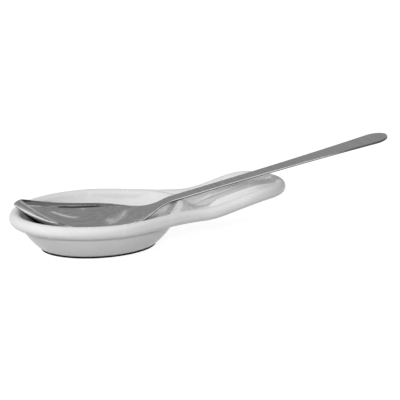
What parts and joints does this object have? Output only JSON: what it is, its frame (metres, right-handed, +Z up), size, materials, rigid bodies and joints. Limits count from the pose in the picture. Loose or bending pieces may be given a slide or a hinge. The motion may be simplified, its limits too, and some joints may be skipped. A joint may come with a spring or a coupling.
{
  "type": "spoon rest",
  "caption": "White spoon rest: an oval bowl with a rolled rim, a dam and a fluted tray handle, on a black foot ring, with a brushed steel serving spoon lying in it.",
  "frame": {"origin": "middle of the bowl's oval foot, on the table that the rest stands on", "axes": "+X along the rest towards the tip of its handle, +Y across it, +Z up from the table"},
  "size_m": [0.3293, 0.116, 0.0744],
  "materials": {
    "glaze": "gloss",
    "foot": "matte",
    "steel": "brushed"
  },
  "bodies": {
    "rest": {"dish": "glaze", "foot_ring": "foot"},
    "spoon": {"spoon": "steel"}
  },
  "joints": [
    {"name": "spoon_lift", "type": "slide", "parent": "rest", "child": "spoon", "axis": [0, 0, 1], "range_m": [0, 0.08]}
  ]
}
